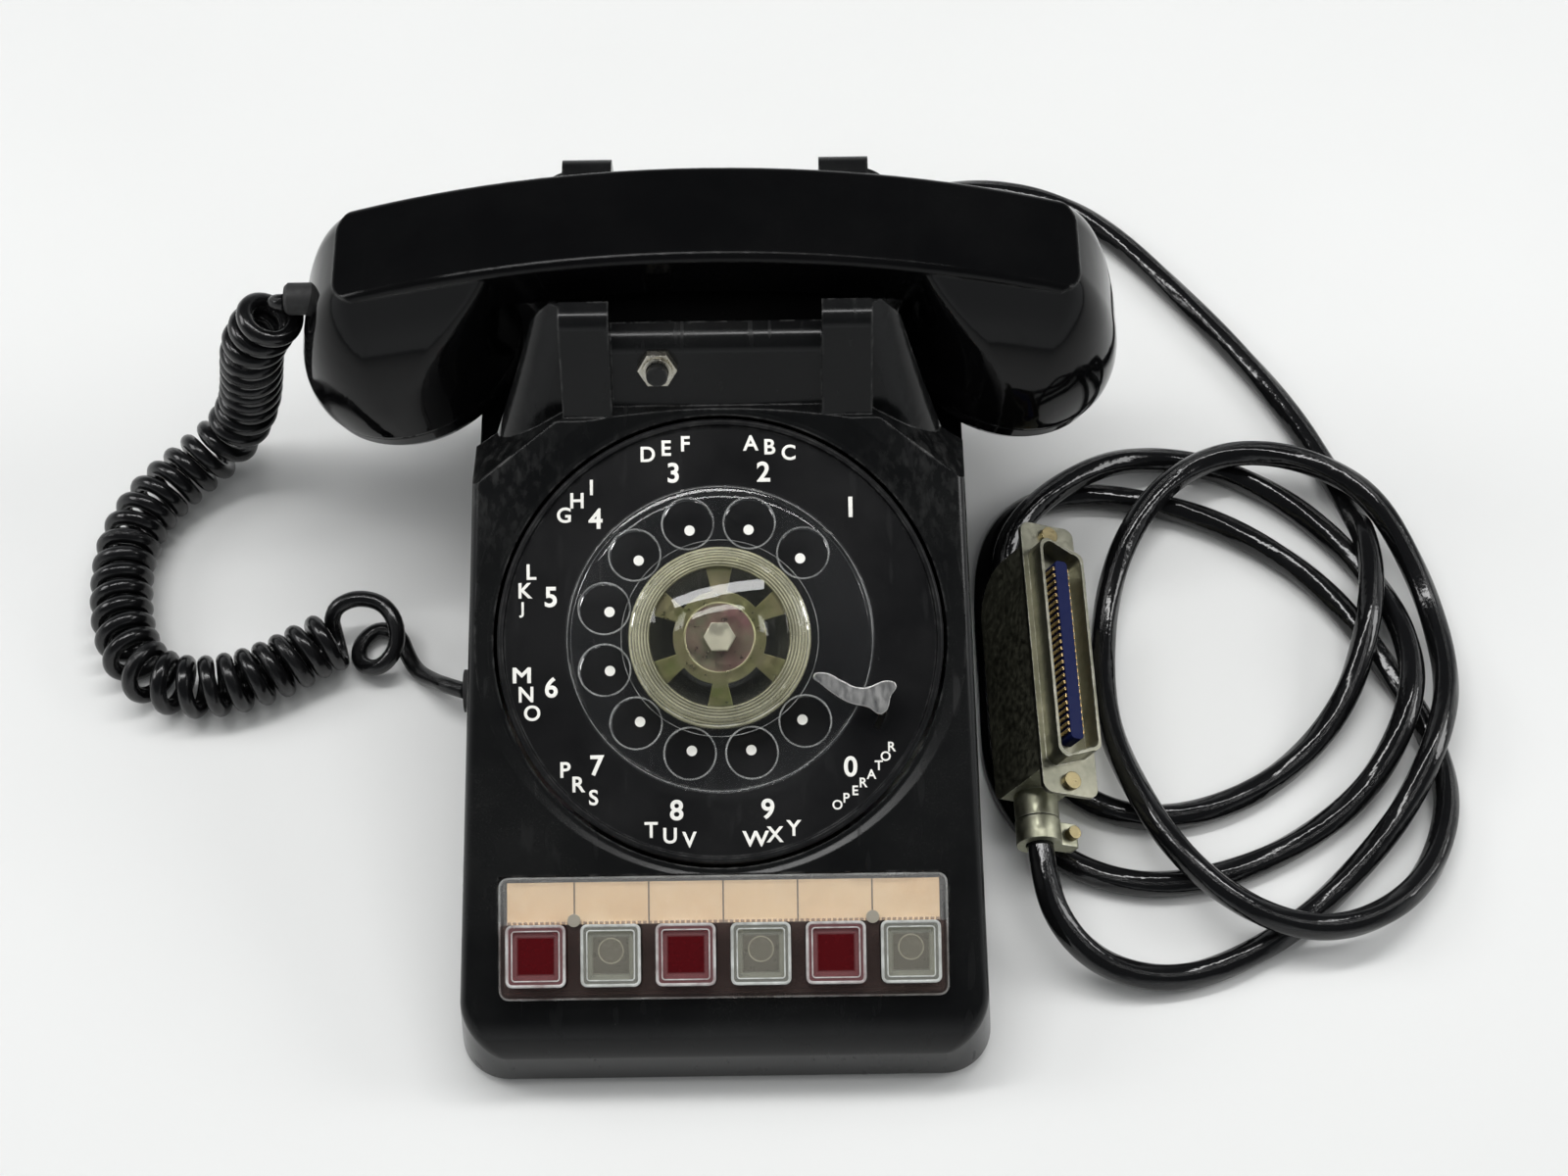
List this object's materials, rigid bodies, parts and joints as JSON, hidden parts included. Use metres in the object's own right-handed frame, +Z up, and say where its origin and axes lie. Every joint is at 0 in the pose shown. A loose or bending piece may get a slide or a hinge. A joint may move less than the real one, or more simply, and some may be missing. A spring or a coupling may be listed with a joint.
{
  "type": "rotary desk telephone",
  "caption": "Black rotary-dial desk telephone with a row of lit line keys, a handset on a curly cord in a two-horned cradle, and a looped line cable ending in a ribbon connector.",
  "frame": {"origin": "middle of the housing's footprint, on the surface that the feet stand on", "axes": "+X to the user's right, +Y to the back, +Z up"},
  "size_m": [0.4162, 0.3148, 0.137],
  "materials": {
    "black_housing": "semi-gloss, dusty, worn edges",
    "black_handset": "gloss",
    "black_plate": "matte, white printed figures",
    "steel": "dull",
    "rubber": "matte",
    "black_cord": "satin",
    "clear_wheel": "clear plastic, scuffed",
    "clear_cap": "clear yellowed plastic",
    "brass": "dull",
    "gold_plated": "plated, iridescent",
    "paper": "ivory card",
    "red_lens": "translucent red",
    "clear_lens": "clear",
    "clear_key": "clear plastic",
    "dark_unit": "matte",
    "olive_hood": "olive chromate",
    "plated_shell": "yellow chromate",
    "blue_insert": "blue moulding"
  },
  "bodies": {
    "phone_body": {"housing": "black_housing", "base_plate": "steel", "rubber_feet": "rubber", "housing_screws": "steel", "number_plate": "black_plate", "dial_can": "steel", "dial_bracket": "steel", "finger_stop": "steel", "key_frame": "black_housing", "key_cover": "clear_wheel", "designation_strip": "paper", "cover_screws": "clear_wheel", "key_lamps": "clear_wheel", "button_nut": "steel", "button_bushing": "steel", "hook_bracket": "steel", "network_block": "dark_unit", "ringer_coil": "dark_unit", "gong_left": "brass", "gong_right": "brass", "gong_posts": "steel", "handset_cord_grommet": "rubber", "line_cable_grommet": "rubber", "curly_cord": "black_cord", "line_cable": "black_cord", "connector_hood": "olive_hood", "connector_shell": "plated_shell", "connector_insert": "blue_insert", "connector_contacts": "brass", "cable_clamp": "olive_hood", "connector_screws": "brass"},
    "dial": {"finger_wheel": "clear_wheel", "clamp_plate": "gold_plated", "centre_cap": "clear_cap", "dial_hub_screw": "steel", "dial_shaft": "steel", "main_gear": "brass"},
    "governor": {"governor": "brass"},
    "push_button": {"push_button": "black_housing"},
    "handset": {"handset_handle": "black_handset", "transmitter_cap": "black_handset", "transmitter_unit": "dark_unit", "receiver_cap": "black_handset", "receiver_unit": "dark_unit", "handset_boot": "rubber"},
    "hook_plungers": {"hook_plungers": "black_housing"},
    "hook_lever": {"hook_lever": "steel"},
    "clapper": {"clapper": "brass"},
    "key_1": {"key_cap_1": "clear_key", "key_lens_1": "red_lens"},
    "key_2": {"key_cap_2": "clear_key", "key_lens_2": "clear_lens"},
    "key_3": {"key_cap_3": "clear_key", "key_lens_3": "red_lens"},
    "key_4": {"key_cap_4": "clear_key", "key_lens_4": "clear_lens"},
    "key_5": {"key_cap_5": "clear_key", "key_lens_5": "red_lens"},
    "key_6": {"key_cap_6": "clear_key", "key_lens_6": "clear_lens"}
  },
  "joints": [
    {"name": "dial_turn", "type": "hinge", "parent": "phone_body", "child": "dial", "pos_m": [0, -0.019, 0.072], "axis": [0, 0.4067, -0.9135], "range_deg": [0, 330], "stiffness_Nm_per_rad": 0.02, "springref_deg": -17.19},
    {"name": "governor_turn", "type": "hinge", "parent": "phone_body", "child": "governor", "pos_m": [-0.03, -0.019, 0.072], "axis": [0, 0.4067, -0.9135], "range_deg": [-1325, 5]},
    {"name": "button_press", "type": "slide", "parent": "phone_body", "child": "push_button", "axis": [0, 0.8988, -0.4384], "range_m": [0, 0.0025], "stiffness_N_per_m": 300, "springref_m": -0.001},
    {"name": "handset_lift", "type": "slide", "parent": "phone_body", "child": "handset", "axis": [0, 0, 1], "range_m": [0, 0.07], "deforming": ["curly_cord"]},
    {"name": "hook_plunger_rise", "type": "slide", "parent": "phone_body", "child": "hook_plungers", "axis": [0, 0, 1], "range_m": [-0.0005, 0.0065]},
    {"name": "hook_lever_turn", "type": "hinge", "parent": "phone_body", "child": "hook_lever", "pos_m": [0, 0.1, 0.084], "axis": [-1, 0, 0], "range_deg": [-1, 16]},
    {"name": "clapper_swing", "type": "hinge", "parent": "phone_body", "child": "clapper", "pos_m": [0, 0.0395, 0.026], "axis": [0, 0, 1], "range_deg": [-10, 10], "stiffness_Nm_per_rad": 0.01},
    {"name": "key_1_press", "type": "slide", "parent": "phone_body", "child": "key_1", "axis": [0, 0.4067, -0.9135], "range_m": [0, 0.004], "stiffness_N_per_m": 250, "springref_m": -0.002},
    {"name": "key_2_press", "type": "slide", "parent": "phone_body", "child": "key_2", "axis": [0, 0.4067, -0.9135], "range_m": [0, 0.004], "stiffness_N_per_m": 250, "springref_m": -0.002},
    {"name": "key_3_press", "type": "slide", "parent": "phone_body", "child": "key_3", "axis": [0, 0.4067, -0.9135], "range_m": [0, 0.004], "stiffness_N_per_m": 250, "springref_m": -0.002},
    {"name": "key_4_press", "type": "slide", "parent": "phone_body", "child": "key_4", "axis": [0, 0.4067, -0.9135], "range_m": [0, 0.004], "stiffness_N_per_m": 250, "springref_m": -0.002},
    {"name": "key_5_press", "type": "slide", "parent": "phone_body", "child": "key_5", "axis": [0, 0.4067, -0.9135], "range_m": [0, 0.004], "stiffness_N_per_m": 250, "springref_m": -0.002},
    {"name": "key_6_press", "type": "slide", "parent": "phone_body", "child": "key_6", "axis": [0, 0.4067, -0.9135], "range_m": [0, 0.004], "stiffness_N_per_m": 250, "springref_m": -0.002}
  ],
  "couplings": [
    {"joint": "governor_turn", "follows": "dial_turn", "ratio": -4},
    {"joint": "hook_plunger_rise", "follows": "handset_lift", "ratio": 0.0857},
    {"joint": "hook_lever_turn", "follows": "handset_lift", "rad_per_m": 3.7}
  ]
}
